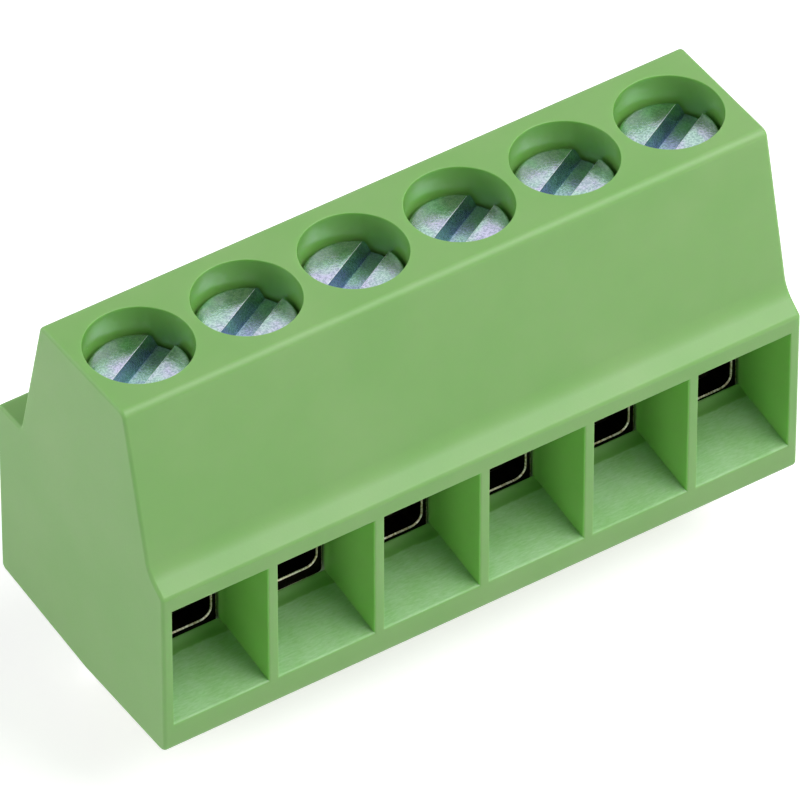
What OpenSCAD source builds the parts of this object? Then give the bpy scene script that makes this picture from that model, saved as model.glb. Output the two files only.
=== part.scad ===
// Screw terminal for a circuit board: one moulded housing with a row of lift clamps.
// X runs along the row, wires enter from -Y, and Z = 0 is the surface of the board.
// The origin is on the board, in the middle of the row of solder pins.
// Setbacks are measured from the front face towards the back, heights from the board.

/* [Row] */
// Number of poles
poles = 6; // [2:1:8]
// Distance from one pole to the next
pitch = 2.54; // [2.54:0.01:3.5]
// From the last pole's centre to the end face
end_margin = 1.355; // [1.3:0.005:1.8]

/* [Housing outline] */
// Depth from the front face to the back face
body_d = 6.18; // [5.9:0.01:7]
// Height of the flat top
body_h = 8.26; // [7.9:0.01:9.5]
// Depth of the flat top, which is centred on the screws
top_d = 3.1; // [2.8:0.01:3.4]
// Height of the ledge along the back
ledge_h = 4.85; // [4:0.01:5.5]
// Depth of the ledge
ledge_d = 0.9; // [0.5:0.01:1]
// Depth of the flat seat under the front
seat_d = 2.99; // [2:0.01:4]
// How far the underside rises towards the back
rear_rise = 0.34; // [0.1:0.01:0.5]
// Height of the vertical front face, up to the lip
lip_h = 4.29; // [4.1:0.01:4.32]
// Height at which the slanted front wall meets the lip
slant_foot_h = 4.6; // [4.58:0.01:5]
// Setback of the slanted wall at its foot
slant_foot_setback = 0.5; // [0.4:0.01:0.6]
// Radius of the lip's nose
lip_radius = 0.25; // [0.1:0.01:0.3]
// Radius of the hollow between lip and slanted wall
lip_hollow_radius = 0.9; // [0.2:0.01:0.95]
// Radius of the front edge of the top
top_front_radius = 0.2; // [0.1:0.01:0.25]
// Radius of the other edges along the row
edge_radius = 0.15; // [0.05:0.01:0.2]
// Radius of the upright edges at the ends
end_radius = 0.2; // [0.1:0.01:0.25]

/* [Wire entries] */
// Thickness of the partitions at the front face
partition_t = 0.23; // [0.18:0.01:0.4]
// Thickness of the end walls at the front face
end_wall_t = 0.24; // [0.2:0.01:0.3]
// Height of the rim under the entries
rim_h = 0.69; // [0.6:0.01:0.8]
// Height of the entries' upper edge, under the lip
mouth_h = 3.77; // [3.6:0.01:3.85]
// How far each side of the entry closes in before the lead-in
side_draft = 0.03; // [0:0.01:0.05]
// How far the entry's floor rises before the lead-in
floor_draft = 0.28; // [0.2:0.01:0.35]
// How far the entry's roof falls before the lead-in
roof_draft = 0.55; // [0.4:0.01:0.6]
// Depth of the steep lead-in around the window
lead_in_d = 0.17; // [0.1:0.01:0.25]
// Thickness of the edge around the window
window_edge_t = 0.16; // [0.06:0.01:0.2]
// Width of the window
window_w = 2.06; // [1.9:0.01:2.14]
// Height of the window's sill
sill_h = 1.15; // [1.1:0.01:1.25]

/* [Screws] */
// Setback of the screws' axes
screw_setback = 2.89; // [2.85:0.01:3]
// Diameter of the holes for the screwdriver
driver_hole_d = 2.26; // [2.2:0.01:2.35]
// Diameter of the screw heads
head_d = 2.1; // [1.8:0.01:2.15]
// Height of the screw heads
head_h = 1.45; // [1.2:0.01:1.6]
// Height of the chamfer around the top of the head
head_chamfer = 0.1; // [0.05:0.01:0.15]
// Width of the screwdriver slot
slot_w = 0.55; // [0.4:0.01:0.7]
// Depth of the screwdriver slot
slot_d = 0.4; // [0.3:0.01:0.6]
// Angle of the slots from the row
slot_angle = 29; // [0:1:90]
// Diameter of the threaded shank
thread_d = 1.6; // [1.4:0.01:1.7]
// Height of the chamfer at the screw's tip
tip_chamfer = 0.25; // [0.1:0.01:0.3]
// Thickness of the shoulder under the screw head
shoulder_t = 0.91; // [0.7:0.01:1.1]

/* [Clamps] */
// Width of the clamp sleeves
clamp_w = 2.14; // [2.05:0.01:2.2]
// Depth of the clamp sleeves
clamp_d = 2.14; // [2.05:0.01:2.2]
// Thickness of the sleeves' sides
clamp_wall_t = 0.15; // [0.12:0.01:0.2]
// Thickness of the sleeves' floor
clamp_floor_t = 0.22; // [0.15:0.01:0.3]
// Height of the threaded block at the top of the sleeves
clamp_block_h = 1.1; // [0.8:0.01:1.2]
// Inner corner radius of the sleeves
clamp_corner_radius = 0.25; // [0.1:0.01:0.3]
// Outer corner radius of the sleeves
clamp_outer_radius = 0.3; // [0.1:0.01:0.35]
// Number of grip grooves across the sleeves' floor
grip_grooves = 3; // [1:1:5]
// Depth of the grip grooves
grip_groove_depth = 0.06; // [0.03:0.01:0.08]
// How far the sleeves can rise
clamp_travel = 1.05; // [0.8:0.01:1.1]
// How far each sleeve has been raised already, pole by pole
clamp_lift = [0.07, 0.21, 0.035, 0.035, 0.035, 0, 0, 0]; // [0:0.005:0.3]

/* [Contact pins] */
// Height of the space for the wire under the current bar
wire_space_h = 1.35; // [1.2:0.01:1.4]
// Thickness of the stamped strip
bar_t = 0.45; // [0.4:0.01:0.5]
// Width of the current bar
bar_w = 1.5; // [1.3:0.01:1.6]
// Inner radius of the bend down to the pin
bend_radius = 0.15; // [0.1:0.01:0.2]
// Setback of the solder pins
pin_setback = 4.52; // [4.4:0.01:4.7]
// Width of the solder pins
pin_w = 0.6; // [0.5:0.01:0.9]
// Length of the solder pins below the board's surface
pin_length = 1.9; // [1.5:0.01:4]
// Height of the leg's shoulders, where it narrows to the pin
pin_shoulder_h = 0.6; // [0.5:0.01:1.5]
// Length of the pin's pointed tip
pin_point = 0.35; // [0.2:0.01:0.6]
// Number of retaining barbs on each side of the leg
barbs = 2; // [1:1:3]
// How far the barbs stand out from the leg
barb = 0.04; // [0.02:0.01:0.04]
// Length of each barb's slope
barb_length = 0.3; // [0.2:0.01:0.4]
// Distance from one barb to the next
barb_gap = 0.45; // [0.4:0.01:0.5]

/* [Clearances] */
// Around the clamp sleeves in their chambers
clamp_clearance = 0.03; // [0.02:0.005:0.05]
// Above the raised sleeves, and over the current bar
head_room = 0.07; // [0.05:0.01:0.1]
// Between the threads, on the radius
thread_clearance = 0.04; // [0.02:0.005:0.06]
// Around the shank in the shoulder, on the radius
neck_clearance = 0.08; // [0.05:0.01:0.12]
// At the screw's two ends, between shoulder and current bar
screw_end_play = 0.03; // [0.02:0.005:0.04]
// Around the pin's leg in its slot
leg_clearance = 0.05; // [0.045:0.005:0.06]

/* [Hidden] */
$fn = 64;
cut = 1;  // how far a cutting shape runs past the surface it opens
sliver_overlap = 0.05;  // how far the tip of a corner's sliver runs past the corner
pin_point_share = 0.5;  // width of the pin's end, as a share of the pin

row_w = (poles - 1) * pitch;
body_w = row_w + 2 * end_margin;
front_y = -pin_setback;

clamp_front = screw_setback - clamp_d / 2;
chamber_front = clamp_front - clamp_clearance;
chamber_back = clamp_front + clamp_d + clamp_clearance;
chamber_w = clamp_w + 2 * clamp_clearance;
window_front = chamber_front - window_edge_t;
lead_in_front = window_front - lead_in_d;

bar_bottom = sill_h + wire_space_h;
bar_top = bar_bottom + bar_t;
leg_front = pin_setback - bar_t / 2;
leg_back = pin_setback + bar_t / 2;
leg_slot_w = bar_w + 2 * leg_clearance;

clamp_bottom = sill_h - clamp_floor_t;
clamp_inner_top = bar_top + head_room;
clamp_top = clamp_inner_top + clamp_block_h;
chamber_top = clamp_top + clamp_travel + head_room;
head_seat = chamber_top + shoulder_t;
head_bottom = head_seat + screw_end_play;
head_top = head_bottom + head_h;

top_front = screw_setback - top_d / 2;
top_back = screw_setback + top_d / 2;
tower_foot = body_d - ledge_d;

function pole_x(n) = (n - 1) * pitch - row_w / 2;
function unit(v) = v / norm(v);

// Extrudes a side view, drawn as [setback, height], along the row and centres it on X = 0.
module along_row(length) {
    rotate([90, 0, 90])
        linear_extrude(length, center = true)
            children();
}

// The sliver between a corner and the arc that rounds it, with its tip a little past the corner:
// cut away it rounds an outer corner, and added it fills an inner one.
module corner_sliver(before, corner, after, radius) {
    u = unit(before - corner);
    v = unit(after - corner);
    middle = unit(u + v);
    half_angle = acos(u * v) / 2;
    reach = radius / tan(half_angle);
    centre = corner + middle * radius / sin(half_angle);
    difference() {
        polygon([corner - middle * sliver_overlap, corner + u * reach, centre, corner + v * reach]);
        translate(centre) circle(radius);
    }
}

// Corners of the side view as [point, radius], with a negative radius at an inner corner.
side_corners = [
    [[0, 0], edge_radius],
    [[0, lip_h], lip_radius],
    [[slant_foot_setback, slant_foot_h], -lip_hollow_radius],
    [[top_front, body_h], top_front_radius],
    [[top_back, body_h], edge_radius],
    [[tower_foot, ledge_h], -edge_radius],
    [[body_d, ledge_h], edge_radius],
    [[body_d, rear_rise], edge_radius],
    [[seat_d, 0], 0]
];

// Slivers of the outer corners (sign 1) or of the inner ones (sign -1).
module side_slivers(sign) {
    count = len(side_corners);
    for (i = [0:count - 1])
        if (sign * side_corners[i][1] > 0)
            corner_sliver(
                side_corners[(i + count - 1) % count][0],
                side_corners[i][0],
                side_corners[(i + 1) % count][0],
                abs(side_corners[i][1])
            );
}

module side_view() {
    difference() {
        union() {
            polygon([for (c = side_corners) c[0]]);
            side_slivers(-1);
        }
        side_slivers(1);
    }
}

// The plan view's arcs round the upright edges at the ends of the front and the back.
module outer_block() {
    intersection() {
        along_row(body_w) side_view();
        translate([0, 0, -cut])
            linear_extrude(body_h + 2 * cut)
                rounded_rectangle(body_w, body_d, end_radius);
    }
}

// A funnel that closes in on all four sides: its side view and its plan view, intersected.
module wire_entry(left, right) {
    floor_end = rim_h + floor_draft;
    roof_end = mouth_h - roof_draft;
    intersection() {
        along_row(2 * pitch)
            polygon([
                [-cut, rim_h], [0, rim_h],
                [lead_in_front, floor_end], [window_front, sill_h],
                [screw_setback, sill_h], [screw_setback, bar_top],
                [window_front, bar_top], [lead_in_front, roof_end],
                [0, mouth_h], [-cut, mouth_h]
            ]);
        translate([0, 0, -cut])
            linear_extrude(body_h)
                polygon([
                    [-left, -cut], [right, -cut], [right, 0],
                    [right - side_draft, lead_in_front], [window_w / 2, window_front],
                    [window_w / 2, screw_setback], [-window_w / 2, screw_setback],
                    [-window_w / 2, window_front], [side_draft - left, lead_in_front],
                    [-left, 0]
                ]);
    }
}

// The clamp's chamber, open underneath, with the slot for the contact pin's leg behind it.
module chamber() {
    translate([-chamber_w / 2, chamber_front, -cut])
        cube([chamber_w, chamber_back - chamber_front, chamber_top + cut]);
    translate([-leg_slot_w / 2, screw_setback, -cut])
        cube([leg_slot_w, leg_back + leg_clearance - screw_setback, bar_top + leg_clearance + cut]);
}

module screw_hole() {
    translate([0, screw_setback, head_seat])
        cylinder(d = driver_hole_d, h = body_h - head_seat + cut);
    translate([0, screw_setback, chamber_top - cut])
        cylinder(r = thread_d / 2 + neck_clearance, h = shoulder_t + 2 * cut);
}

module housing() {
    inner = (pitch - partition_t) / 2;
    outer = end_margin - end_wall_t;
    color("#8ab476")
        translate([0, front_y, 0])
            difference() {
                outer_block();
                for (n = [1:poles])
                    translate([pole_x(n), 0, 0]) {
                        wire_entry(n == 1 ? outer : inner, n == poles ? outer : inner);
                        chamber();
                        screw_hole();
                    }
            }
}

// The screw turns in place: its head stays on the shoulder and its tip on the current bar.
module screw(n) {
    tip = bar_top + screw_end_play;
    radius = thread_d / 2;
    color("#c9ccd2")
        translate([pole_x(n), front_y + screw_setback, 0])
            difference() {
                rotate_extrude()
                    polygon([
                        [0, tip], [radius - tip_chamfer, tip], [radius, tip + tip_chamfer],
                        [radius, head_bottom], [head_d / 2, head_bottom],
                        [head_d / 2, head_top - head_chamfer],
                        [head_d / 2 - head_chamfer, head_top], [0, head_top]
                    ]);
                rotate(slot_angle)
                    translate([-head_d, -slot_w / 2, head_top - slot_d])
                        cube([2 * head_d, slot_w, slot_d + cut]);
            }
}

// A rectangle with arcs for corners, from its lower edge up and centred from side to side.
module rounded_rectangle(width, height, radius) {
    corners = [
        [-width / 2, 0], [width / 2, 0],
        [width / 2, height], [-width / 2, height]
    ];
    difference() {
        polygon(corners);
        for (i = [0:3])
            corner_sliver(corners[(i + 3) % 4], corners[i], corners[(i + 1) % 4], radius);
    }
}

// Front view of a clamp sleeve, from its underside up.
module clamp_view() {
    difference() {
        rounded_rectangle(clamp_w, clamp_top - clamp_bottom, clamp_outer_radius);
        translate([0, clamp_floor_t])
            rounded_rectangle(
                clamp_w - 2 * clamp_wall_t, clamp_inner_top - sill_h, clamp_corner_radius
            );
    }
}

// A square bar on edge, which cuts a V across the sleeve's floor.
module grip_groove() {
    side = grip_groove_depth * sqrt(2);
    rotate([45, 0, 0])
        cube([bar_w, side, side], center = true);
}

// A rectangular sleeve, open in front and behind, with a threaded block for a top.
module clamp(n) {
    groove_gap = clamp_d / (grip_grooves + 1);
    color("#c8b478")
        translate([pole_x(n), front_y + clamp_front, clamp_bottom + clamp_lift[n - 1]])
            difference() {
                rotate([90, 0, 0])
                    translate([0, 0, -clamp_d])
                        linear_extrude(clamp_d)
                            clamp_view();
                translate([0, clamp_d / 2, clamp_inner_top - sill_h])
                    cylinder(r = thread_d / 2 + thread_clearance, h = clamp_block_h + 2 * cut);
                for (i = [1:grip_grooves])
                    translate([0, i * groove_gap, clamp_floor_t])
                        grip_groove();
            }
}

// Front view of one half of the leg and pin, as [across the row, height], with its barbs.
module half_leg_view() {
    polygon([
        [0, bar_top], [0, -pin_length], [pin_w / 2 * pin_point_share, -pin_length],
        [pin_w / 2, pin_point - pin_length], [pin_w / 2, pin_shoulder_h],
        [bar_w / 2, pin_shoulder_h], [bar_w / 2, bar_top]
    ]);
    for (i = [1:barbs]) {
        barb_h = pin_shoulder_h + i * barb_gap;
        polygon([
            [0, barb_h], [bar_w / 2 + barb, barb_h],
            [bar_w / 2, barb_h + barb_length], [0, barb_h + barb_length]
        ]);
    }
}

// Side view of the bent strip, as [setback, height].
module strip_view() {
    outer_radius = bend_radius + bar_t;
    difference() {
        union() {
            polygon([
                [clamp_front, bar_bottom], [leg_front, bar_bottom], [leg_front, -pin_length],
                [leg_back, -pin_length], [leg_back, bar_top], [clamp_front, bar_top]
            ]);
            corner_sliver([clamp_front, bar_bottom], [leg_front, bar_bottom], [leg_front, 0], bend_radius);
        }
        corner_sliver([leg_back, 0], [leg_back, bar_top], [clamp_front, bar_top], outer_radius);
    }
}

// The current bar runs through the clamp and bends down into the solder pin.
module contact_pin(n) {
    color("#d4d6d2")
        translate([pole_x(n), front_y, 0])
            intersection() {
                along_row(bar_w + 2 * leg_clearance) strip_view();
                rotate([90, 0, 0])
                    translate([0, 0, -body_d])
                        linear_extrude(body_d) {
                            half_leg_view();
                            mirror([1, 0]) half_leg_view();
                        }
            }
}

housing();
for (n = [1:poles]) {
    screw(n);
    clamp(n);
    contact_pin(n);
}
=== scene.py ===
import math
import bmesh
import bpy
from mathutils import Matrix, Vector


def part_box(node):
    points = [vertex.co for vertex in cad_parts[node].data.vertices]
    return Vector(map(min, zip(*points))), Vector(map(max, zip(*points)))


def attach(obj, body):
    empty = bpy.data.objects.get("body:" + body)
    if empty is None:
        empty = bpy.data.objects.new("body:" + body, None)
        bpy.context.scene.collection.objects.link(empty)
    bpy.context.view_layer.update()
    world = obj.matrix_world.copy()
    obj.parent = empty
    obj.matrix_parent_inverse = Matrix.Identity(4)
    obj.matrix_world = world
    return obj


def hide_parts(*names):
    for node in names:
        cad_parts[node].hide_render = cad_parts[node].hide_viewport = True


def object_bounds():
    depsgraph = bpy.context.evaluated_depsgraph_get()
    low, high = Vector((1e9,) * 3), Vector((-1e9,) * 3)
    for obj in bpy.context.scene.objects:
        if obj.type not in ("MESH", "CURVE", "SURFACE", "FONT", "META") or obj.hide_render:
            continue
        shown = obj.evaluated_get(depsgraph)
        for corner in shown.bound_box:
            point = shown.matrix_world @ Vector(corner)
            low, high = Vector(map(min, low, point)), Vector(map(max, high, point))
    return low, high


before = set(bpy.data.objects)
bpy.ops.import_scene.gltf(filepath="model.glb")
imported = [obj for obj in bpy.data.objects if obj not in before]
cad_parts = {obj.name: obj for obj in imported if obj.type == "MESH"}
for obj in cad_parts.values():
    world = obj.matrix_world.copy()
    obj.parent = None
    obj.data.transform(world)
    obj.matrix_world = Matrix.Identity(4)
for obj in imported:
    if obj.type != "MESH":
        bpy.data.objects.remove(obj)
cadLow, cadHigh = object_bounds()
mm = 0.001     # every size below is in millimetres until this turns it to metres
past = 1       # how far a cutter reaches past what it cuts
overlap = 0.5  # how far a cutter reaches into a hole that is there already
tiny = 2e-6    # places nearer than this, in metres, count as the same
weld = 1e-8    # vertices nearer than this, in metres, are merged
poleCount = sum(name.startswith("screw_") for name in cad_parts)
housingLow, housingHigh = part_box("housing")


def middleOf(node):
    low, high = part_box(node)
    return (low + high) / 2


poleX = [middleOf(f"screw_{n}").x for n in range(1, poleCount + 1)]
screwY = middleOf("screw_1").y
print(f"frame loaded: {poleCount} poles")


def hexColour(text):
    channels = [int(text[i:i + 2], 16) / 255 for i in (1, 3, 5)]
    return [c / 12.92 if c <= 0.04045 else ((c + 0.055) / 1.055) ** 2.4 for c in channels] + [1]


def addNode(tree, kind, inputs=(), stops=(), **settings):
    # Stops are the positions and colours of a colour ramp.
    node = tree.nodes.new("ShaderNode" + kind)
    for name, value in settings.items():
        setattr(node, name, value)
    for element, (position, colour) in zip(node.color_ramp.elements if stops else (), stops):
        element.position, element.color = position, hexColour(colour)
    for name, value in dict(inputs).items():
        if isinstance(value, bpy.types.NodeSocket):
            tree.links.new(value, node.inputs[name])
        else:
            node.inputs[name].default_value = value
    return node


def newMaterial(name):
    material = bpy.data.materials.new(name)
    material.use_nodes = True
    tree = material.node_tree
    tree.nodes.clear()
    place = addNode(tree, "TexCoord").outputs["Object"]
    return material, tree, place


def finishMaterial(tree, shader):
    addNode(tree, "OutputMaterial", {"Surface": shader.outputs[0]})


mouldedPolyamide = {
    "colour": "#7DAE62",
    "paleColour": "#85B16A",
    "roughness": 0.46,
    "grain": 0.05,        # the spark-eroded mould's texture
    "grainHeight": 0.0012,
    "flow": 2.2,          # soft unevenness of the moulded walls
    "flowHeight": 0.004,
    "ior": 1.53,
    "gloss": 0.4,
    "scatter": 0.4,       # light goes a little way into the green walls
    "scatterDepth": 0.4,
    "scatterColour": (0.45, 1.0, 0.3),
}


def makePolyamide(finish, name):
    # Polyamide 6.6 moulded in a spark-eroded tool: satin, a little waxy, with a faint fine grain.
    material, tree, place = newMaterial(name)
    grain = addNode(tree, "TexNoise", {"Vector": place, "Scale": 1 / (finish["grain"] * mm),
                                       "Detail": 2, "Roughness": 0.6})
    flow = addNode(tree, "TexNoise", {"Vector": place, "Scale": 1 / (finish["flow"] * mm),
                                      "Detail": 3, "Roughness": 0.5})
    colour = addNode(tree, "ValToRGB", {"Fac": flow.outputs["Fac"]},
                     stops=[(0.35, finish["colour"]), (0.7, finish["paleColour"])])
    wave = addNode(tree, "Bump", {"Height": flow.outputs["Fac"], "Strength": 1,
                                  "Distance": finish["flowHeight"] * mm})
    bump = addNode(tree, "Bump", {"Height": grain.outputs["Fac"], "Strength": 1,
                                  "Distance": finish["grainHeight"] * mm,
                                  "Normal": wave.outputs["Normal"]})
    shine = addNode(tree, "MapRange", {"Value": grain.outputs["Fac"],
                                       "To Min": finish["roughness"] - 0.05,
                                       "To Max": finish["roughness"] + 0.05})
    shader = addNode(tree, "BsdfPrincipled", {
        "Base Color": colour.outputs["Color"], "Roughness": shine.outputs["Result"],
        "IOR": finish["ior"], "Specular IOR Level": finish["gloss"],
        "Subsurface Weight": finish["scatter"], "Subsurface Radius": finish["scatterColour"],
        "Subsurface Scale": finish["scatterDepth"] * mm, "Normal": bump.outputs["Normal"]})
    finishMaterial(tree, shader)
    return material


milledCore = {
    "colour": "#80B36C",
    "paleColour": "#9DC592",
    "lipShadowColour": "#6FA650",
    "roughness": 0.55,
    "line": 0.035,        # lines of the milled core, along the row
    "lineLength": 0.16,
    "lineHeight": 0.001,
    "cloud": 0.8,
    "lipShadow": 1.45,         # behind this setback the floor is painted darker: a painted shadow of the lip
    "lipShadowWave": 0.1,
    "lipShadowWaveSize": 0.3,
    "lipShadowSoftness": 0.02,
    "ior": 1.53,
    "scatter": 0.4,
    "scatterDepth": 0.4,
    "scatterColour": (0.45, 1.0, 0.3),
}


def makeMilledPolyamide(finish):
    # The funnels' floors are moulded against a milled steel core: fine pale lines run along the row. Near
    # the window the floor is painted darker, a painted shadow of the lip.
    material, tree, place = newMaterial("mouldedPolyamideMilledCore")
    share = finish["line"] / finish["lineLength"]
    along = addNode(tree, "Mapping", {"Vector": place, "Scale": (share, 1, 1)})
    lines = addNode(tree, "TexNoise", {"Vector": along.outputs["Vector"],
                                       "Scale": 1 / (finish["line"] * mm), "Detail": 3, "Roughness": 0.6})
    cloud = addNode(tree, "TexNoise", {"Vector": place, "Scale": 1 / (finish["cloud"] * mm), "Detail": 2})
    both = addNode(tree, "Math", {0: lines.outputs["Fac"], 1: cloud.outputs["Fac"]}, operation="ADD")
    mean = addNode(tree, "Math", {0: both.outputs[0], 1: 0.5}, operation="MULTIPLY")
    milled = addNode(tree, "ValToRGB", {"Fac": mean.outputs[0]},
                     stops=[(0.34, finish["colour"]), (0.68, finish["paleColour"])])
    # Behind a wavy, soft edge across the floor the colour turns darker: a painted shadow of the lip.
    wave = addNode(tree, "TexNoise", {"Vector": place, "Scale": 1 / (finish["lipShadowWaveSize"] * mm),
                                      "Detail": 2})
    depth = addNode(tree, "SeparateXYZ", {"Vector": place})
    waved = addNode(tree, "Math", {0: wave.outputs["Fac"], 1: finish["lipShadowWave"] * mm,
                                   2: depth.outputs["Y"]}, operation="MULTIPLY_ADD")
    edge = housingLow.y + (finish["lipShadow"] + finish["lipShadowWave"] / 2) * mm
    lipShadow = addNode(tree, "MapRange", {"Value": waved.outputs[0],
                                      "From Min": edge - finish["lipShadowSoftness"] * mm,
                                      "From Max": edge + finish["lipShadowSoftness"] * mm})
    colour = addNode(tree, "MixRGB", {"Fac": lipShadow.outputs["Result"], "Color1": milled.outputs["Color"],
                                      "Color2": hexColour(finish["lipShadowColour"])})
    bump = addNode(tree, "Bump", {"Height": lines.outputs["Fac"], "Strength": 1,
                                  "Distance": finish["lineHeight"] * mm})
    shader = addNode(tree, "BsdfPrincipled", {
        "Base Color": colour.outputs["Color"], "Roughness": finish["roughness"], "IOR": finish["ior"],
        "Subsurface Weight": finish["scatter"], "Subsurface Radius": finish["scatterColour"],
        "Subsurface Scale": finish["scatterDepth"] * mm, "Normal": bump.outputs["Normal"]})
    finishMaterial(tree, shader)
    return material


zincPlate = {
    "colour": "#DCDCE8",
    "blueTint": "#D2D0F4",
    "greenTintAndReflection": "#B4E4D0",
    "speckle": "#D2DADC",  # what the pits do to the colour
    "tint": 0.65,
    "roughness": 0.2,
    "tintSize": 0.5,      # patches of the blue passivation and of the green tint, which is partly a painted reflection of the green walls
    "pitSize": 0.045,
    "pitHeight": 0.004,
}


def makeZinc(finish, name):
    # Steel screws in bright zinc with blue passivation: a cold shine in lilac and green patches. The green
    # is partly the passivation's colour and partly a painted reflection of the green walls.
    material, tree, place = newMaterial(name)
    patches = addNode(tree, "TexNoise", {"Vector": place, "Scale": 1 / (finish["tintSize"] * mm),
                                         "Detail": 2, "Roughness": 0.5})
    tints = addNode(tree, "ValToRGB", {"Fac": patches.outputs["Fac"]},
                    stops=[(0.38, finish["blueTint"]), (0.62, finish["greenTintAndReflection"])])
    plain = addNode(tree, "MixRGB", {"Fac": 1 - finish["tint"], "Color1": tints.outputs["Color"],
                                     "Color2": hexColour(finish["colour"])})
    pits = addNode(tree, "TexNoise", {"Vector": place, "Scale": 1 / (finish["pitSize"] * mm),
                                      "Detail": 3, "Roughness": 0.65})
    speckle = addNode(tree, "ValToRGB", {"Fac": pits.outputs["Fac"]},
                      stops=[(0.4, finish["speckle"]), (0.58, "#FFFFFF")])
    colour = addNode(tree, "MixRGB", {"Fac": 1, "Color1": plain.outputs["Color"],
                                      "Color2": speckle.outputs["Color"]}, blend_type="MULTIPLY")
    bump = addNode(tree, "Bump", {"Height": pits.outputs["Fac"], "Strength": 1,
                                  "Distance": finish["pitHeight"] * mm})
    shine = addNode(tree, "MapRange", {"Value": pits.outputs["Fac"],
                                       "To Min": finish["roughness"] - 0.05,
                                       "To Max": finish["roughness"] + 0.08})
    shader = addNode(tree, "BsdfPrincipled", {
        "Base Color": colour.outputs["Color"], "Metallic": 1, "Roughness": shine.outputs["Result"],
        "Normal": bump.outputs["Normal"]})
    finishMaterial(tree, shader)
    return material


nickelledBrass = {
    "colour": "#D9C58C",
    "paleColour": "#E9DDBB",
    "roughness": 0.2,
    "drawLine": 0.04,     # lines of the rolled and drawn strip, along the sleeve
    "stretch": 0.08,
    "lineHeight": 0.002,
}


def makeNickelledBrass(finish, name):
    # Rolled brass strip with a thin flash of nickel: a pale gold shine with fine drawn lines.
    material, tree, place = newMaterial(name)
    along = addNode(tree, "Mapping", {"Vector": place, "Scale": (1, finish["stretch"], 1)})
    lines = addNode(tree, "TexNoise", {"Vector": along.outputs["Vector"],
                                       "Scale": 1 / (finish["drawLine"] * mm), "Detail": 2})
    colour = addNode(tree, "ValToRGB", {"Fac": lines.outputs["Fac"]},
                     stops=[(0.3, finish["colour"]), (0.75, finish["paleColour"])])
    bump = addNode(tree, "Bump", {"Height": lines.outputs["Fac"], "Strength": 1,
                                  "Distance": finish["lineHeight"] * mm})
    shader = addNode(tree, "BsdfPrincipled", {
        "Base Color": colour.outputs["Color"], "Metallic": 1, "Roughness": finish["roughness"],
        "Normal": bump.outputs["Normal"]})
    finishMaterial(tree, shader)
    return material


tinPlate = {
    "colour": "#D3D5D1",
    "dullColour": "#CACCC9",
    "roughness": 0.36,
    "crystal": 0.12,      # matt tin shows soft crystals
    "crystalHeight": 0.002,
}


def makeTin(finish):
    # Matt tin plated on a brass pin: grey-white, soft and slightly cloudy.
    material, tree, place = newMaterial("mattTinPlate")
    cloud = addNode(tree, "TexNoise", {"Vector": place, "Scale": 1 / (finish["crystal"] * mm),
                                       "Detail": 4, "Roughness": 0.6})
    colour = addNode(tree, "ValToRGB", {"Fac": cloud.outputs["Fac"]},
                     stops=[(0.35, finish["dullColour"]), (0.65, finish["colour"])])
    bump = addNode(tree, "Bump", {"Height": cloud.outputs["Fac"], "Strength": 1,
                                  "Distance": finish["crystalHeight"] * mm})
    shine = addNode(tree, "MapRange", {"Value": cloud.outputs["Fac"],
                                       "To Min": finish["roughness"] - 0.06,
                                       "To Max": finish["roughness"] + 0.08})
    shader = addNode(tree, "BsdfPrincipled", {
        "Base Color": colour.outputs["Color"], "Metallic": 1, "Roughness": shine.outputs["Result"],
        "Normal": bump.outputs["Normal"]})
    finishMaterial(tree, shader)
    return material


polyamide = makePolyamide(mouldedPolyamide, "mouldedPolyamideGreen")
# Polished core pins leave smoother walls. The holes' walls are also painted a darker green: painted shade
# in the recess.
polishedShadedPolyamide = makePolyamide(mouldedPolyamide | {
    "colour": "#6FA64E", "paleColour": "#74AA54", "roughness": 0.25, "gloss": 0.26},
    "mouldedPolyamidePolishedCoreShaded")
# The funnels' walls are painted a brighter, richer green: painted bounce light between the green walls.
funnelBounceLitPolyamide = makePolyamide(mouldedPolyamide | {
    "colour": "#7ABC54", "paleColour": "#82C15E"}, "mouldedPolyamideFunnelBounceLit")
milledPolyamide = makeMilledPolyamide(milledCore)
zinc = makeZinc(zincPlate, "bluePassivatedZinc")
# In the slot the zinc is painted darker and bluer as painted shade, and on the slot's burrs it is painted
# white as a painted highlight.
slotShadeZinc = makeZinc(zincPlate | {
    "colour": "#B8C0DA", "blueTint": "#AAB6E6", "greenTintAndReflection": "#B4E6D6"}, "slottedZincPaintedShade")
zincBurrHighlight = makeZinc(zincPlate | {
    "colour": "#FFFFFF", "roughness": 0.45, "tint": 0.1}, "burnishedZincBurrHighlight")
brass = makeNickelledBrass(nickelledBrass, "nickelFlashedBrass")
# Inside and on the cut faces the strip is painted near black as painted shade, and its sheared edges are
# painted pale and bright as a painted highlight.
shadeDarkBrass = makeNickelledBrass(nickelledBrass | {
    "colour": "#17120F", "paleColour": "#2A221B", "roughness": 0.4}, "brassPaintedShade")
highlightBrass = makeNickelledBrass(nickelledBrass | {
    "colour": "#A8935F", "paleColour": "#FFFDF0", "roughness": 0.42}, "shearedBrassEdgeHighlight")
tin = makeTin(tinPlate)
print("materials made")


def makeObject(bm, name, material=None):
    mesh = bpy.data.meshes.new(name)
    bm.to_mesh(mesh)
    bm.free()
    piece = bpy.data.objects.new(name, mesh)
    bpy.context.scene.collection.objects.link(piece)
    if material:
        mesh.materials.append(material)
    return piece


def bakeModifiers(piece):
    evaluated = piece.evaluated_get(bpy.context.evaluated_depsgraph_get())
    shaped = bpy.data.meshes.new_from_object(evaluated)
    piece.modifiers.clear()
    piece.data = shaped


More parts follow.
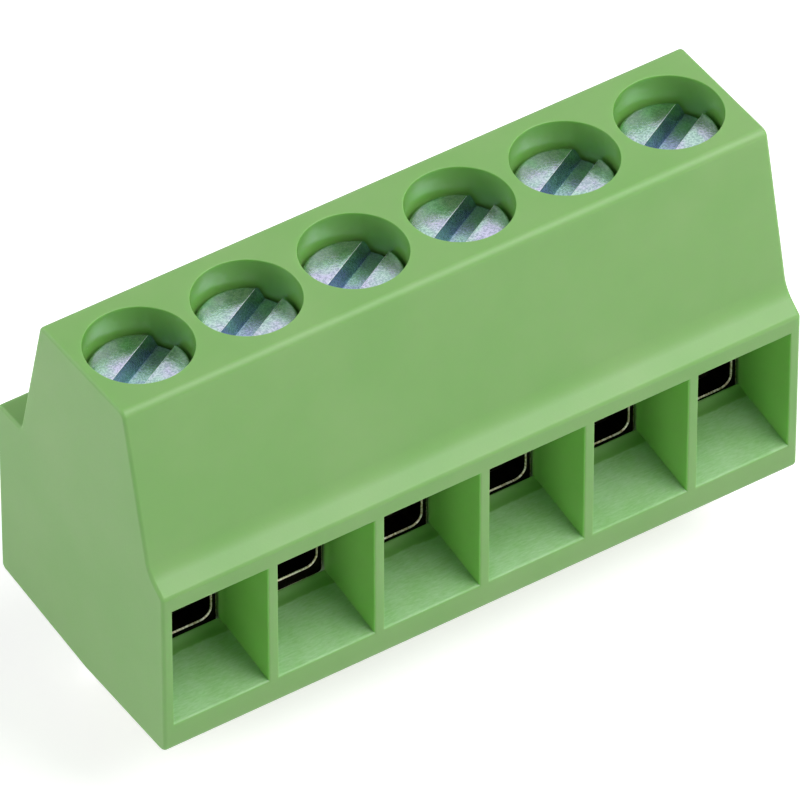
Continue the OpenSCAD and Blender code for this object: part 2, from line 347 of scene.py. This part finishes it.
def cutAway(piece, cutters):
    # Each cut face keeps the material of the cutter that made it.
    for cutter in cutters:
        cut = piece.modifiers.new(cutter.name, "BOOLEAN")
        cut.operation, cut.solver, cut.object = "DIFFERENCE", "EXACT", cutter
        cut.material_mode = "TRANSFER"
    bakeModifiers(piece)
    for cutter in cutters:
        bpy.data.objects.remove(cutter)


def roundEdges(bm, edges, width, segments):
    bmesh.ops.bevel(bm, geom=edges, offset=width, offset_type="OFFSET", affect="EDGES",
                    segments=segments, profile=0.5, material=-1, clamp_overlap=True, loop_slide=True)


def addBlock(bm, low, high):
    made = bmesh.ops.create_cube(bm, size=1)["verts"]
    size = [b - a for a, b in zip(low, high)]
    bmesh.ops.scale(bm, verts=made, vec=size)
    bmesh.ops.translate(bm, verts=made, vec=[(a + b) / 2 for a, b in zip(low, high)])
    return made


def addRod(bm, x, y, low, high, radius, segments=96):
    made = bmesh.ops.create_cone(bm, cap_ends=True, segments=segments, radius1=radius,
                                 radius2=radius, depth=high - low)["verts"]
    bmesh.ops.translate(bm, verts=made, vec=(x, y, (low + high) / 2))
    return made


def shadeSmooth(piece, angle=40):
    # Smooth across rounded edges while the flat faces stay flat.
    mesh = piece.data
    mesh.shade_smooth()
    mesh.set_sharp_from_angle(angle=math.radians(angle))
    weighted = piece.modifiers.new("flatFaces", "WEIGHTED_NORMAL")
    weighted.keep_sharp = True
    weighted.weight = 100


housing = {
    "topDepth": 3.1,
    "ledgeHeight": 4.85,
    "ledgeDepth": 0.9,
    "seatDepth": 2.99,
    "rearRise": 0.34,
    "lipHeight": 4.23,
    "slantFoot": (0.5, 4.6),
    "lipRadius": 0.12,
    "hollowRadius": 0.65,
    "topFrontRadius": 0.2,
    "edgeRadius": 0.15,
    "footRadius": 0.2,
    "endRounding": 0.08,
    "partition": 0.25,
    "endWall": 0.24,
    "rimHeight": 0.73,
    "mouthHeight": 3.81,
    "sideDraft": 0.03,
    "floorDraft": 0.31,
    "roofDraft": 0.55,
    "leadIn": 0.17,
    "windowEdge": 0.11,
    "windowFrame": 0.02,  # what is left of the wall round the window
    "windowWidth": 2.06,
    "windowTop": 2.95,
    "sillHeight": 1.21,
    "mouthRounding": 0.055,
    "chamber": 2.2,
    "chamberTop": 5.24,
    "headSeat": 6.15,
    "driverHole": 2.26,
    "neckHole": 1.76,
    "holeRounding": 0.025,
    "legSlot": (1.6, 4.795, 3.0),  # width, back, top
}


def housingBlock(sizes):
    # The outline from the side, drawn as setback and height, is extruded along the row and then rounded.
    depth = (housingHigh.y - housingLow.y) / mm
    height = housingHigh.z / mm
    setback = (screwY - housingLow.y) / mm
    topFront, topBack = setback - sizes["topDepth"] / 2, setback + sizes["topDepth"] / 2
    towerFoot = depth - sizes["ledgeDepth"]
    edge = sizes["edgeRadius"]
    corners = [
        ((0, 0), sizes["footRadius"]), ((0, sizes["lipHeight"]), sizes["lipRadius"]),
        (sizes["slantFoot"], sizes["hollowRadius"]), ((topFront, height), sizes["topFrontRadius"]),
        ((topBack, height), edge), ((towerFoot, sizes["ledgeHeight"]), edge),
        ((depth, sizes["ledgeHeight"]), edge), ((depth, sizes["rearRise"]), edge),
        ((sizes["seatDepth"], 0), 0),
    ]
    bm = bmesh.new()
    outline = [bm.verts.new((housingLow.x, housingLow.y + f * mm, h * mm)) for (f, h), radius in corners]
    side = bm.faces.new(outline)
    made = bmesh.ops.extrude_face_region(bm, geom=[side])["geom"]
    moved = [v for v in made if isinstance(v, bmesh.types.BMVert)]
    bmesh.ops.translate(bm, verts=moved, vec=(housingHigh.x - housingLow.x, 0, 0))
    bmesh.ops.recalc_face_normals(bm, faces=bm.faces)
    for i, (corner, radius) in enumerate(corners):
        if not radius:
            continue
        here = Vector(corner)
        before = (Vector(corners[i - 1][0]) - here).normalized()
        after = (Vector(corners[(i + 1) % len(corners)][0]) - here).normalized()
        reach = radius / math.tan(before.angle(after) / 2)
        place = (housingLow.y + corner[0] * mm, corner[1] * mm)
        edges = [e for e in bm.edges if all(
            abs(v.co.y - place[0]) < tiny and abs(v.co.z - place[1]) < tiny for v in e.verts)]
        roundEdges(bm, edges, reach * mm, 8)
    ends = [e for e in bm.edges if abs(e.verts[0].co.x - e.verts[1].co.x) < tiny]
    roundEdges(bm, ends, sizes["endRounding"] * mm, 4)
    return makeObject(bm, "housingBlock", polyamide)


def wireEntries(sizes):
    # Each funnel starts as a face in front of the block and is extruded from section to section:
    # setback, reach to the left and right, floor and roof.
    bm = bmesh.new()
    front = housingLow.y / mm
    window = (screwY - sizes["chamber"] / 2 * mm) / mm - sizes["windowEdge"]
    leadIn = window - sizes["leadIn"]
    pitch = (poleX[1] - poleX[0]) / mm
    inner = (pitch - sizes["partition"]) / 2
    outer = housingHigh.x / mm - poleX[-1] / mm - sizes["endWall"]
    half = sizes["windowWidth"] / 2
    floorEnd, roofEnd = sizes["rimHeight"] + sizes["floorDraft"], sizes["mouthHeight"] - sizes["roofDraft"]
    for n, x in enumerate(poleX):
        left = outer if n == 0 else inner
        right = outer if n == poleCount - 1 else inner
        draft = sizes["sideDraft"]
        sections = [
            (front - past, left, right, sizes["rimHeight"], sizes["mouthHeight"]),
            (front, left, right, sizes["rimHeight"], sizes["mouthHeight"]),
            (leadIn, left - draft, right - draft, floorEnd, roofEnd),
            (window, half, half, sizes["sillHeight"], sizes["windowTop"]),
            (screwY / mm, half, half, sizes["sillHeight"], sizes["windowTop"]),
        ]
        outline = [bm.verts.new((x + across * mm, front * mm, up * mm))
                   for across, up in ((-1, 1), (1, 1), (1, 3), (-1, 3))]
        face = bm.faces.new(outline)
        for step, (y, toLeft, toRight, low, high) in enumerate(sections):
            if step:
                made = bmesh.ops.extrude_face_region(bm, geom=[face])["geom"]
                if step > 1:
                    bmesh.ops.delete(bm, geom=[face], context="FACES_ONLY")
                face = next(g for g in made if isinstance(g, bmesh.types.BMFace))
            middle = face.calc_center_median()
            for corner in face.verts:
                across = toRight if corner.co.x > middle.x else -toLeft
                corner.co = (x + across * mm, y * mm, (high if corner.co.z > middle.z else low) * mm)
    bmesh.ops.recalc_face_normals(bm, faces=bm.faces)
    for face in bm.faces:
        if face.normal.z < -0.5 and face.calc_center_median().z < 2 * mm:
            face.material_index = 1
    piece = makeObject(bm, "wireEntries", funnelBounceLitPolyamide)
    piece.data.materials.append(milledPolyamide)
    return piece


def housingCutters(sizes):
    half = sizes["chamber"] / 2 * mm
    chambers, slots, holes, necks = (bmesh.new() for kind in range(4))
    slotWidth, slotBack, slotTop = sizes["legSlot"]
    under = -past * mm
    thin = (sizes["windowEdge"] - sizes["windowFrame"]) * mm
    for x in poleX:
        addBlock(chambers, (x - half, screwY - half - thin, under),
                 (x + half, screwY + half, sizes["chamberTop"] * mm))
        addBlock(slots, (x - slotWidth / 2 * mm, screwY, under),
                 (x + slotWidth / 2 * mm, housingLow.y + slotBack * mm, slotTop * mm))
        addRod(holes, x, screwY, sizes["headSeat"] * mm, housingHigh.z + past * mm,
               sizes["driverHole"] / 2 * mm)
        addRod(necks, x, screwY, (sizes["chamberTop"] - overlap) * mm,
               (sizes["headSeat"] + overlap) * mm, sizes["neckHole"] / 2 * mm, 64)
    return [makeObject(bm, name, finish) for bm, name, finish in (
        (chambers, "chambers", polyamide), (slots, "legSlots", polyamide),
        (holes, "driverHoles", polishedShadedPolyamide), (necks, "neckHoles", polishedShadedPolyamide))]


def roundOpenings(piece, sizes):
    bm = bmesh.new()
    bm.from_mesh(piece.data)
    bmesh.ops.remove_doubles(bm, verts=bm.verts, dist=weld)
    bmesh.ops.dissolve_limit(bm, angle_limit=math.radians(0.5), verts=bm.verts, edges=bm.edges)
    front, top = housingLow.y, housingHigh.z
    low, high = sizes["rimHeight"] * mm - tiny, sizes["mouthHeight"] * mm + tiny
    side = housingHigh.x - sizes["endWall"] * mm + 5 * tiny

    def sharp(edge):
        return len(edge.link_faces) == 2 and edge.calc_face_angle() > math.radians(30)

    mouths = [e for e in bm.edges if sharp(e) and all(
        abs(v.co.y - front) < tiny and low < v.co.z < high and abs(v.co.x) < side for v in e.verts)]
    roundEdges(bm, mouths, sizes["mouthRounding"] * mm, 4)
    rims = [e for e in bm.edges if sharp(e) and all(
        abs(v.co.z - top) < tiny and min(math.hypot(v.co.x - x, v.co.y - screwY) for x in poleX)
        < sizes["driverHole"] / 2 * mm + 5 * tiny for v in e.verts)]
    roundEdges(bm, rims, sizes["holeRounding"] * mm, 4)
    print(f"housing: {len(mouths)} mouth edges and {len(rims)} hole edges rounded")
    bm.to_mesh(piece.data)
    bm.free()


block = housingBlock(housing)
cutAway(block, [wireEntries(housing)] + housingCutters(housing))
roundOpenings(block, housing)
block.name = "terminalHousing"
shadeSmooth(block)
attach(block, "block")
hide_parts("housing")
print("housing made")


clampScrew = {
    "head": 2.1,
    "headHeight": 1.45,
    "headRounding": 0.09,
    "headChamfer": 0.05,    # under the head
    "shank": 1.6,
    "threadRoot": 1.22,
    "threadPitch": 0.35,
    "threadFoot": 0.92,     # width of the ridge at its foot, in pitches
    "threadSink": 0.05,     # how deep the ridge's foot lies in the core
    "crest": 0.05,
    "threadEnds": (0.12, 0.06),  # plain core at the tip and under the head
    "tipChamfer": 0.25,
    "slotTop": 0.62,        # the slot narrows from its top to its floor
    "slotFloor": 0.3,
    "slotDepth": 0.3,
    "slotAngle": 29,
    "cutterHeight": 0.2,    # how far the slot's cutter stands above the head
    "burr": 0.035,
}


def turnProfile(bm, x, y, profile, steps):
    # A profile of radius and height, spun once round the axis of the screw.
    points = [bm.verts.new((x + r * mm, y, z)) for r, z in profile]
    lines = [bm.edges.new(pair) for pair in zip(points, points[1:])]
    bmesh.ops.spin(bm, geom=points + lines, cent=(x, y, 0), axis=(0, 0, 1), dvec=(0, 0, 0),
                   angle=2 * math.pi, steps=steps, use_merge=True, use_duplicate=False)
    bmesh.ops.remove_doubles(bm, verts=bm.verts, dist=weld)


def addThread(bm, x, y, low, high, sizes, steps=36):
    # A trapezium on edge, spun and lifted by one pitch each turn.
    pitch = sizes["threadPitch"] * mm
    crest, root = sizes["shank"] / 2 * mm, (sizes["threadRoot"] / 2 - sizes["threadSink"]) * mm
    half, flat = pitch * sizes["threadFoot"] / 2, sizes["crest"] / 2 * mm
    ridge = bm.faces.new([bm.verts.new((x + r, y, low + half + z)) for r, z in (
        (root, -half), (crest, -flat), (crest, flat), (root, half))])
    turns = (high - low - 2 * half) / pitch
    count = int(turns * steps)
    bmesh.ops.spin(bm, geom=[ridge], cent=(x, y, 0), axis=(0, 0, 1), dvec=(0, 0, pitch / steps),
                   angle=2 * math.pi * count / steps, steps=count, use_duplicate=False)


def slotCutter(x, y, top, sizes):
    # A bar across the head, as wide as the slot at its top and at its floor.
    bm = bmesh.new()
    depth, spread = sizes["slotDepth"] + sizes["cutterHeight"], sizes["slotTop"] - sizes["slotFloor"]
    widest = sizes["slotFloor"] + spread * depth / sizes["slotDepth"]
    bmesh.ops.create_cube(bm, size=1)
    for v in bm.verts:
        width = widest if v.co.z > 0 else sizes["slotFloor"]
        v.co = (v.co.x * 2 * sizes["head"] * mm, v.co.y * width * mm,
                (v.co.z + 0.5) * depth * mm - sizes["slotDepth"] * mm)
    turn = Matrix.Rotation(math.radians(sizes["slotAngle"]), 4, "Z")
    bmesh.ops.transform(bm, matrix=Matrix.Translation((x, y, top)) @ turn, verts=bm.verts)
    return makeObject(bm, "screwdriverSlot", slotShadeZinc)


def makeScrew(n, sizes):
    low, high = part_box(f"screw_{n}")
    x, y = middleOf(f"screw_{n}").xy
    bm = bmesh.new()
    head, rounding = sizes["head"] / 2, sizes["headRounding"]
    neck = sizes["threadRoot"] / 2
    under = high.z - sizes["headHeight"] * mm
    arc = [(head - rounding + rounding * math.sin(a), high.z - rounding * mm * (1 - math.cos(a)))
           for a in (math.pi / 2 * i / 4 for i in range(5))]
    chamfer = sizes["headChamfer"]
    turnProfile(bm, x, y, [(0, high.z)] + arc + [
        (head, under + chamfer * mm), (head - chamfer, under), (neck, under),
        (neck, low.z + sizes["tipChamfer"] * mm), (sizes["shank"] / 2 - sizes["tipChamfer"], low.z),
        (0, low.z)], 72)
    bmesh.ops.dissolve_limit(bm, angle_limit=math.radians(0.5), verts=bm.verts, edges=bm.edges)
    bmesh.ops.recalc_face_normals(bm, faces=bm.faces)
    piece = makeObject(bm, f"clampScrew{n}", zinc)
    cutAway(piece, [slotCutter(x, y, high.z, sizes)])
    piece.data.materials.append(zincBurrHighlight)
    burrHighlightIndex = len(piece.data.materials) - 1
    bm = bmesh.new()
    bm.from_mesh(piece.data)
    bmesh.ops.remove_doubles(bm, verts=bm.verts, dist=weld)
    flat = (head - rounding) * mm + tiny
    edges = [e for e in bm.edges if all(
        abs(v.co.z - high.z) < tiny and math.hypot(v.co.x - x, v.co.y - y) < flat for v in e.verts)
        and len(e.link_faces) == 2 and e.calc_face_angle() > math.radians(25)]
    burrs = bmesh.ops.bevel(bm, geom=edges, offset=sizes["burr"] * mm, offset_type="OFFSET",
                            affect="EDGES", segments=2, profile=0.5, material=-1,
                            clamp_overlap=True, loop_slide=True)["faces"]
    # The burrs' rounding takes the white painted highlight.
    for face in burrs:
        face.material_index = burrHighlightIndex
    atTip, atHead = sizes["threadEnds"]
    addThread(bm, x, y, low.z + atTip * mm, under - atHead * mm, sizes)
    bmesh.ops.recalc_face_normals(bm, faces=bm.faces)
    bm.to_mesh(piece.data)
    bm.free()
    shadeSmooth(piece, 30)
    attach(piece, f"screw_{n}")
    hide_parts(f"screw_{n}")


for n in range(1, poleCount + 1):
    makeScrew(n, clampScrew)
print("screws made")


clampSleeve = {
    "wall": 0.15,
    "floor": 0.22,
    "foot": 0.09,         # the folded floor reaches a little below the plain one
    "block": 1.1,
    "innerRadius": 0.25,
    "lowerRadius": 0.12,
    "upperRadius": 0.3,
    "thread": 1.68,
    "grooves": 3,         # grip grooves across the floor
    "grooveDepth": 0.06,
    "grooveWidth": 1.5,
    "edge": 0.034,        # the sheared edge, which is painted bright as a highlight
}


def longEdges(bm, low, high):
    # The edges that run from front to back between these heights.
    return [e for e in bm.edges if low < e.verts[0].co.z < high
            and (e.verts[0].co.xz - e.verts[1].co.xz).length < tiny]


def makeSleeve(n, sizes):
    low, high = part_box(f"clamp_{n}")
    middle = (low + high) / 2
    ahead = Vector((0, past * mm, 0))
    bm = bmesh.new()
    foot = low - Vector((0, 0, sizes["foot"] * mm))
    addBlock(bm, foot, high)
    roundEdges(bm, longEdges(bm, foot.z - tiny, middle.z), sizes["lowerRadius"] * mm, 5)
    roundEdges(bm, longEdges(bm, middle.z, high.z + tiny), sizes["upperRadius"] * mm, 5)
    piece = makeObject(bm, f"clampSleeve{n}", brass)
    for finish in (shadeDarkBrass, highlightBrass):
        piece.data.materials.append(finish)

    opening = bmesh.new()
    floor = low.z + sizes["floor"] * mm
    addBlock(opening, low + Vector((sizes["wall"] * mm, 0, sizes["floor"] * mm)) - ahead,
             high - Vector((sizes["wall"] * mm, 0, sizes["block"] * mm)) + ahead)
    roundEdges(opening, longEdges(opening, low.z, high.z), sizes["innerRadius"] * mm, 7)
    thread = bmesh.new()
    addRod(thread, middle.x, middle.y, high.z - (sizes["block"] + overlap) * mm,
           high.z + overlap * mm, sizes["thread"] / 2 * mm, 64)
    grooves = bmesh.new()
    side = sizes["grooveDepth"] * math.sqrt(2) * mm
    for i in range(sizes["grooves"]):
        bar = bmesh.ops.create_cube(grooves, size=1)["verts"]
        bmesh.ops.scale(grooves, verts=bar, vec=(sizes["grooveWidth"] * mm, side, side))
        bmesh.ops.rotate(grooves, verts=bar, matrix=Matrix.Rotation(math.pi / 4, 3, "X"))
        bmesh.ops.translate(grooves, verts=bar, vec=(
            middle.x, low.y + (high.y - low.y) * (i + 1) / (sizes["grooves"] + 1), floor))
    # The cut faces inside the sleeve take the near-black painted shade.
    cutAway(piece, [makeObject(cutter, name, shadeDarkBrass) for cutter, name in (
        (opening, "sleeveOpening"), (thread, "clampThread"), (grooves, "gripGrooves"))])

    bm = bmesh.new()
    bm.from_mesh(piece.data)
    bmesh.ops.remove_doubles(bm, verts=bm.verts, dist=weld)
    # The front and back faces take the near-black painted shade.
    for face in bm.faces:
        if abs(face.normal.y) > 0.99:
            face.material_index = 1
    rims = [e for e in bm.edges if len(e.link_faces) == 2 and e.calc_face_angle() > math.radians(60)
            and any(abs(v.co.y - y) < tiny for y in (low.y, high.y) for v in e.verts)
            and abs(e.verts[0].co.y - e.verts[1].co.y) < tiny]
    # The rims are rounded, and the rounding takes the pale painted highlight.
    for face in bmesh.ops.bevel(bm, geom=rims, offset=sizes["edge"] * mm, offset_type="OFFSET",
                                affect="EDGES", segments=3, profile=0.5, material=-1,
                                clamp_overlap=True, loop_slide=True)["faces"]:
        face.material_index = 2
    bm.to_mesh(piece.data)
    bm.free()
    shadeSmooth(piece, 40)
    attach(piece, f"clamp_{n}")
    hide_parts(f"clamp_{n}")


for n in range(1, poleCount + 1):
    makeSleeve(n, clampSleeve)
print("sleeves made")


contactPin = {
    "edge": 0.02,         # the stamping leaves the strip's edges slightly round
}


def makePin(n, sizes):
    # The node's own strip, merged into whole faces, with its stamped edges softened.
    bm = bmesh.new()
    bm.from_mesh(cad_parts[f"contact_pin_{n}"].data)
    bmesh.ops.remove_doubles(bm, verts=bm.verts, dist=weld)
    bmesh.ops.dissolve_limit(bm, angle_limit=math.radians(1), verts=bm.verts, edges=bm.edges)
    edges = [e for e in bm.edges if len(e.link_faces) == 2 and e.calc_face_angle() > math.radians(35)]
    roundEdges(bm, edges, sizes["edge"] * mm, 2)
    piece = makeObject(bm, f"contactPin{n}", tin)
    shadeSmooth(piece, 40)
    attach(piece, "block")
    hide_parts(f"contact_pin_{n}")


for n in range(1, poleCount + 1):
    makePin(n, contactPin)
print("pins made")


studio = {
    "floorColour": "#E6E6E6",
    "floorReach": 1500,
    "floorGrain": 0.5,
    "floorGrainHeight": 0.005,
    "floorGlow": 0.62,    # whitens the floor in view and in reflections, and lights nothing
    "worldLevel": 0.07,   # the soft light from all sides
    "lampDistance": 120,
    "lamps": {            # azimuth, elevation, width, power
        "keyLamp": (45, 53, 99, 0.140),
        "rearLamp": (-135, 28, 99, 0.067),
        "fillLamp": (-60, 16, 64, 0.025),
    },
}


def makeFloor(sizes):
    bm = bmesh.new()
    bmesh.ops.create_grid(bm, x_segments=1, y_segments=1, size=sizes["floorReach"] * mm)
    bmesh.ops.translate(bm, verts=bm.verts, vec=(0, 0, cadLow.z))
    material, tree, place = newMaterial("whiteStudioBoard")
    grain = addNode(tree, "TexNoise", {"Vector": place, "Scale": 1 / (sizes["floorGrain"] * mm)})
    bump = addNode(tree, "Bump", {"Height": grain.outputs["Fac"], "Strength": 0.1,
                                  "Distance": sizes["floorGrainHeight"] * mm})
    matt = addNode(tree, "BsdfDiffuse", {"Color": hexColour(sizes["floorColour"]),
                                         "Normal": bump.outputs["Normal"]})
    ray = addNode(tree, "LightPath")
    direct = addNode(tree, "Math", {0: ray.outputs["Is Camera Ray"], 1: ray.outputs["Is Glossy Ray"]},
                     operation="MAXIMUM")
    seen = addNode(tree, "Math", {0: direct.outputs[0], 1: ray.outputs["Is Transmission Ray"]},
                   operation="MAXIMUM")
    level = addNode(tree, "Math", {0: seen.outputs[0], 1: sizes["floorGlow"]}, operation="MULTIPLY")
    glow = addNode(tree, "Emission", {"Color": (1, 1, 1, 1), "Strength": level.outputs[0]})
    both = addNode(tree, "AddShader", {0: matt.outputs[0], 1: glow.outputs[0]})
    finishMaterial(tree, both)
    makeObject(bm, "studioFloor", material)


def makeWorld(sizes):
    world = bpy.data.worlds.new("studioWorld")
    world.use_nodes = True
    tree = world.node_tree
    tree.nodes.clear()
    ray = addNode(tree, "LightPath")
    seen = addNode(tree, "Math", {0: ray.outputs["Is Camera Ray"], 1: ray.outputs["Is Glossy Ray"]},
                   operation="MAXIMUM")
    level = addNode(tree, "MapRange", {"Value": seen.outputs[0], "To Min": sizes["worldLevel"],
                                       "To Max": 1})
    light = addNode(tree, "Background", {"Color": (1, 1, 1, 1), "Strength": level.outputs["Result"]})
    addNode(tree, "OutputWorld", {"Surface": light.outputs[0]})
    bpy.context.scene.world = world


def directionOf(azimuth, elevation):
    # Azimuth 0 lies in front of the wire entries, and 90 beyond the right end.
    turn, lift = math.radians(azimuth), math.radians(elevation)
    return Vector((math.sin(turn) * math.cos(lift), -math.cos(turn) * math.cos(lift), math.sin(lift)))


def makeLamps(sizes):
    for name, (azimuth, elevation, width, power) in sizes["lamps"].items():
        lamp = bpy.data.lights.new(name, "AREA")
        lamp.shape, lamp.size, lamp.energy = "DISK", width * mm, power
        holder = bpy.data.objects.new(name, lamp)
        bpy.context.scene.collection.objects.link(holder)
        towards = directionOf(azimuth, elevation)
        holder.location = towards * sizes["lampDistance"] * mm
        holder.rotation_euler = (-towards).to_track_quat("-Z", "Y").to_euler()


shot = {
    "azimuth": -33.325,
    "elevation": 42.655,
    "distance": 250.6,
    "aim": (0, -1.4, 4.0),
    "shift": (0.008, 0.454),  # how far the camera is moved to the left and down from the aim
    "fieldOfView": 3.702,
    "sensor": 36,
    "clip": (0.01, 10),   # metres
}


def makeCamera(sizes):
    back = directionOf(sizes["azimuth"], sizes["elevation"])
    facing = (-back).to_track_quat("-Z", "Y")
    right, up = facing @ Vector((1, 0, 0)), facing @ Vector((0, 1, 0))
    data = bpy.data.cameras.new("productCamera")
    data.sensor_width = sizes["sensor"]
    data.angle = math.radians(sizes["fieldOfView"])
    data.clip_start, data.clip_end = sizes["clip"]
    camera = bpy.data.objects.new("productCamera", data)
    bpy.context.scene.collection.objects.link(camera)
    aim = Vector(sizes["aim"]) - right * sizes["shift"][0] - up * sizes["shift"][1]
    camera.location = (aim + back * sizes["distance"]) * mm
    camera.rotation_euler = facing.to_euler()
    bpy.context.scene.camera = camera


makeFloor(studio)
makeWorld(studio)
makeLamps(studio)
makeCamera(shot)
bpy.context.scene.view_settings.view_transform = "Standard"
print("studio and camera made")
